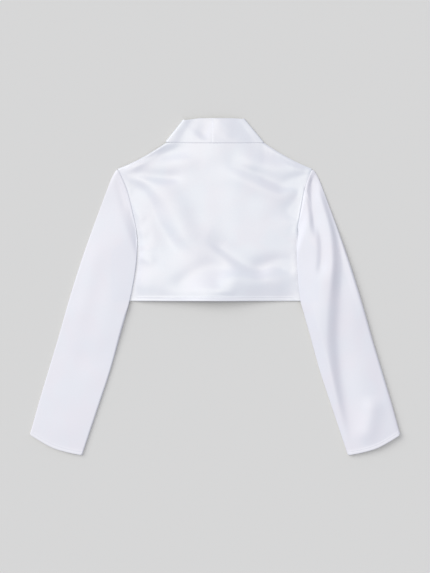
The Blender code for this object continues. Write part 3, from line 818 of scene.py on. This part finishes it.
collar = {
    "topY": 353.2, "topLeft": 65.0, "topRight": 60.5, "dropLeft": 4.0, "dropRight": 1.1, "tall": 51,
    "rim": 1.6, "rimTop": 0.2,          # the folded side and the top stand this far in from the outline
    "dropFrom": 0.45,                   # from here on, as a part of its half width, the top edge drops
    "lap": 2.5,                         # the left half runs on under the right one
    "onBack": 0.45, "overBack": 0.7, "heightFrom": 3,     # it rests on the back's height just below its seam
    "fall": 0.35, "foldGap": 0.9, "columns": 26, "lower": 44,
    "near": [0, 0.8, 1.8, 3.2, 5.2, 8.0, 11.5],
    "across": [0, 0.016, 0.036, 0.065, 0.1, 0.15, 0.22, 0.3, 0.4, 0.5, 0.6, 0.7, 0.79, 0.87, 0.93, 0.97, 1],
    "ripple": 0.14, "rippleWave": 34, "foldFade": 14, "foldStart": 0.2,
    "rightRoll": 0.2, "rightRollWidth": 9, "rollDown": 0.4, "rollFrom": 0.965,
    # by the centre seam, and along the neck seam
    "seamDip": 0.08, "seamDipWidth": 2.2, "lapDown": 0.12, "lapFade": 1.2,
    "allowance": 0.16, "allowanceAt": 4.2, "allowanceWidth": 2.8,
    "neckDip": 0.15, "neckDipWidth": 4.5, "neckAllowance": 17, "neckFade": 3,
    "sewn": [(102, 302.4), (76, 206), (62, 130), (54, 60), (55, 16)],
    "free": [(37, 257), (20, 190), (11, 120), (12, 60), (30, 8)],
    "folds": [
        (-2.3, 28, 14, [(-34, 308), (-20, 328), (-8, 360)]),
        (0.6, 14, 14, [(-60, 312), (-44, 328), (-38, 346)]),
        (0.5, 14, 14, [(18, 306), (26, 328), (20, 348)]),
        (-0.25, 16, 16, [(40, 306), (44, 328), (36, 354)]),
    ],
}


def makeCollar(name, side, topHalf, drop, node):
    lap = collar["lap"] if side < 0 else 0
    start = body["centreBackX"] * side - lap
    v = np.array(collar["across"])[None, :]
    line = np.array([(start, 0.0), (body["neckHalf"] - collar["rim"], 0.0)])
    base = spaced(line, collar["near"], [0], collar["columns"])[:, 0]
    u = (base - base[0]) / (base[-1] - base[0])
    brim = start + (topHalf - collar["rim"] - start) * u
    baseY = shoulderY(base) - collar["overBack"]
    dropping = smooth((brim / topHalf - collar["dropFrom"]) / (1 - collar["dropFrom"]))
    brimY = collar["topY"] - drop * dropping - collar["rimTop"]
    half = base[:, None] * (1 - v) + brim[:, None] * v
    y = baseY[:, None] * (1 - v) + brimY[:, None] * v
    width = body["neckHalf"] * (1 - v) + topHalf * v
    sewnAt = backHeight(side * base, baseY - collar["heightFrom"]) + collar["onBack"]
    sewnAt = sewnAt - layers["fronts"] - collar["foldGap"]
    lift = sewnAt[:, None] * (1 - collar["fall"] * v)
    if side > 0:
        lift = lift + collar["rightRoll"] * np.exp(-(((width - half) / collar["rightRollWidth"]) ** 2))
    inner = smooth((width - half) / collar["foldFade"])
    uneven = foldHeight(side * half, y, collar["folds"])
    uneven = uneven + collar["ripple"] * ripple(side * half, y, collar["rippleWave"], 41)
    lift = lift + uneven * inner * smooth(v / collar["foldStart"])

    fromSeam = half - start - lap
    lift = lift - collar["seamDip"] * np.clip(1 - np.abs(fromSeam) / collar["seamDipWidth"], 0, 1) ** 2
    lift = lift - collar["lapDown"] * smooth(-fromSeam / collar["lapFade"])
    bump = np.exp(-(((fromSeam - collar["allowanceAt"]) / collar["allowanceWidth"]) ** 2))
    lift = lift + collar["allowance"] * bump
    fromNeck = v * collar["tall"]
    lift = lift - collar["neckDip"] * np.clip(1 - fromNeck / collar["neckDipWidth"], 0, 1) ** 2 * inner
    bump = smooth((collar["neckAllowance"] - fromNeck) / collar["neckFade"])
    bump = bump * smooth(fromNeck / collar["neckFade"])
    lift = lift + collar["allowance"] * bump * inner
    overBrim = np.clip((v - collar["rollFrom"]) / (1 - collar["rollFrom"]), 0, 1)
    lift = lift - collar["rollDown"] * overBrim ** 2
    upper = np.dstack([half, y, layers["fronts"] + collar["foldGap"] + lift])

    fold = upper[-1, :, :2]
    sewn = curve(collar["sewn"], collar["lower"] + 1)
    free = curve([tuple(fold[-1])] + collar["free"], collar["lower"] + 1)
    sewn[0], free[0] = fold[0], fold[-1]
    end = sewn[-1] + (free[-1] - sewn[-1]) * v.T
    lower = patch(sewn, free, fold, end, collar["across"])
    lower = withHeight(lower, layers["collarWall"] / 2 + 0.05)

    run = fold[-1] - fold[0]
    outward = np.array([run[1], -run[0]]) / np.hypot(*run)
    turn = turnedEdge(upper[-1], lower[0], outward).transpose(1, 0, 2)
    rows = np.concatenate([upper, turn, lower], axis=0)
    rows[:, :, 0] *= side
    piece = clothMesh(name, rows, False, layers["collarWall"], shinySatin)
    settle(piece, node)
    return piece


collarLeft = makeCollar("collarLeft", -1, collar["topLeft"], collar["dropLeft"], "collar_left")
collarRight = makeCollar("collarRight", 1, collar["topRight"], collar["dropRight"], "collar_right")
print("collar laid")


# Floor, light and camera

studio = {
    "floorColour": (0.696, 0.692, 0.651), "floorSize": 12, "lightPlace": (0, 0, 2),
    "world": 0.545, "worldColour": (0.92, 0.95, 1.14),
    "keyStrength": 1.5, "keyHeight": 36, "keyFrom": 145, "keyAngle": 40,
    "topStrength": 0.612, "topColour": (1.0, 0.95, 0.75), "topHeight": 80, "topFrom": 145, "topAngle": 30,
    "cameraHeight": 3.0, "frameHeight": 1.2033, "sensor": 24,
}


def sun(name, strength, elevation, azimuth, angle, colour=(1, 1, 1)):
    # elevation above the table, azimuth counted from +X towards +Y
    bpy.ops.object.light_add(type="SUN", location=studio["lightPlace"])
    light = bpy.context.object
    light.name = name
    light.data.energy = strength
    light.data.angle = math.radians(angle)
    light.data.color = colour
    light.rotation_euler = (math.radians(90 - elevation), 0, math.radians(azimuth + 90))


def setStudio():
    bpy.ops.object.select_all(action="DESELECT")
    bpy.ops.mesh.primitive_plane_add(size=studio["floorSize"], location=(0, 0, 0))
    floor = bpy.context.object
    floor.name = "floor"
    paper = bpy.data.materials.new("floorPaper")
    paper.use_nodes = True
    shader = paper.node_tree.nodes["Principled BSDF"]
    shader.inputs["Base Color"].default_value = (*studio["floorColour"], 1)
    shader.inputs["Roughness"].default_value = 1.0
    shader.inputs["Specular IOR Level"].default_value = 0.0
    floor.data.materials.append(paper)
    sun("keyLight", studio["keyStrength"], studio["keyHeight"], studio["keyFrom"], studio["keyAngle"])
    sun("topLight", studio["topStrength"], studio["topHeight"], studio["topFrom"], studio["topAngle"],
        studio["topColour"])
    world = bpy.data.worlds.new("studio")
    bpy.context.scene.world = world
    world.use_nodes = True
    world.node_tree.nodes["Background"].inputs["Color"].default_value = (*studio["worldColour"], 1)
    world.node_tree.nodes["Background"].inputs["Strength"].default_value = studio["world"]
    bpy.context.scene.view_settings.view_transform = "Standard"


def setCamera():
    data = bpy.data.cameras.new("camera")
    camera = bpy.data.objects.new("camera", data)
    bpy.context.scene.collection.objects.link(camera)
    camera.location = (0, 0, studio["cameraHeight"])
    data.sensor_fit = "VERTICAL"
    data.sensor_height = studio["sensor"]
    data.lens = studio["sensor"] * studio["cameraHeight"] / studio["frameHeight"]
    bpy.context.scene.camera = camera


setStudio()
setCamera()
print("studio set")
